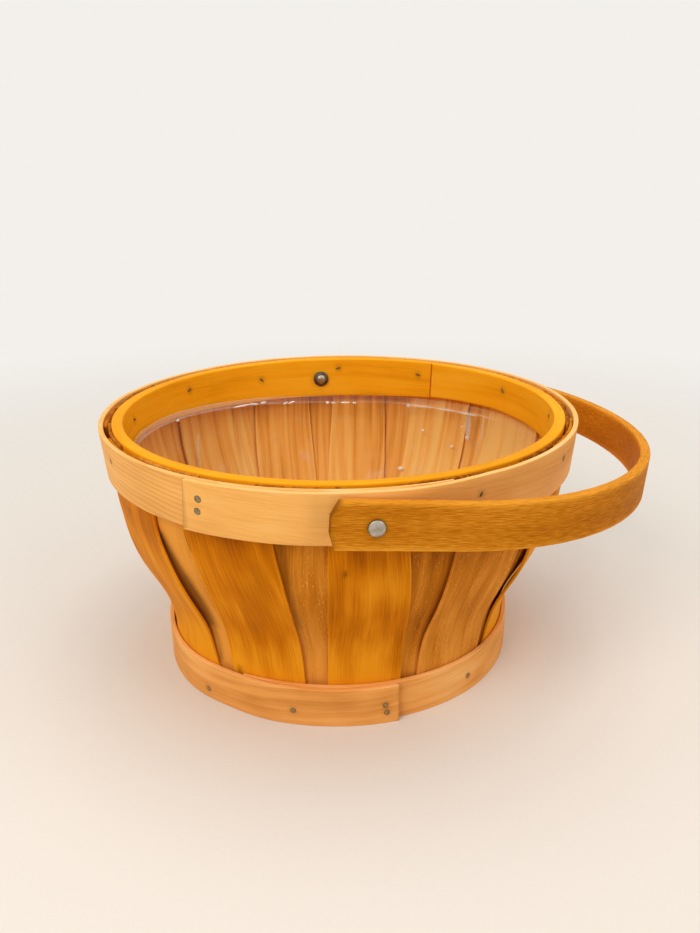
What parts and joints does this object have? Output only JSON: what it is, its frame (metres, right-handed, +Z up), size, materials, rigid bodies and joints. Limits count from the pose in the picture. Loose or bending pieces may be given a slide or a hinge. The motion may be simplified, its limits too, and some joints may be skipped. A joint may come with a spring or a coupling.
{
  "type": "basket",
  "caption": "Round splint basket with bent wooden hoops, a riveted bentwood swing handle and a clear lift-out liner",
  "frame": {"origin": "Centre of the underside of the base, on the surface that the basket stands on", "axes": "+Z up, +X the way the lowered handle lies, Y along the line through the two handle rivets"},
  "size_m": [0.2411, 0.2241, 0.1105],
  "materials": {
    "outer_hoop_wood": "satin",
    "base_hoop_wood": "satin",
    "inner_hoop_wood": "satin",
    "handle_wood": "satin",
    "outer_stave_veneer": "satin",
    "inner_stave_veneer": "satin",
    "board_wood": "sanded",
    "rivet_steel": "nickel plated",
    "washer_steel": "dull plated",
    "clear_plastic": "clear gloss"
  },
  "bodies": {
    "basket": {"outer_hoop": "outer_hoop_wood", "inner_hoop": "inner_hoop_wood", "base_hoop": "base_hoop_wood", "base_board": "board_wood", "front_rivet": "rivet_steel", "back_rivet": "rivet_steel", "front_washer": "washer_steel", "back_washer": "washer_steel", "outer_stave_1": "outer_stave_veneer", "outer_stave_2": "outer_stave_veneer", "outer_stave_3": "outer_stave_veneer", "outer_stave_4": "outer_stave_veneer", "outer_stave_5": "outer_stave_veneer", "outer_stave_6": "outer_stave_veneer", "outer_stave_7": "outer_stave_veneer", "outer_stave_8": "outer_stave_veneer", "outer_stave_9": "outer_stave_veneer", "outer_stave_10": "outer_stave_veneer", "outer_stave_11": "outer_stave_veneer", "outer_stave_12": "outer_stave_veneer", "inner_stave_1": "inner_stave_veneer", "inner_stave_2": "inner_stave_veneer", "inner_stave_3": "inner_stave_veneer", "inner_stave_4": "inner_stave_veneer", "inner_stave_5": "inner_stave_veneer", "inner_stave_6": "inner_stave_veneer", "inner_stave_7": "inner_stave_veneer", "inner_stave_8": "inner_stave_veneer", "inner_stave_9": "inner_stave_veneer", "inner_stave_10": "inner_stave_veneer", "inner_stave_11": "inner_stave_veneer", "inner_stave_12": "inner_stave_veneer"},
    "handle": {"handle": "handle_wood"},
    "liner": {"liner": "clear_plastic"}
  },
  "joints": [
    {"name": "handle_swing", "type": "hinge", "parent": "basket", "child": "handle", "pos_m": [0, 0, 0.0995], "axis": [0, -1, 0], "range_deg": [-38, 226]},
    {"name": "liner_lift", "type": "slide", "parent": "basket", "child": "liner", "axis": [0, 0, 1], "range_m": [0, 0.12]}
  ]
}
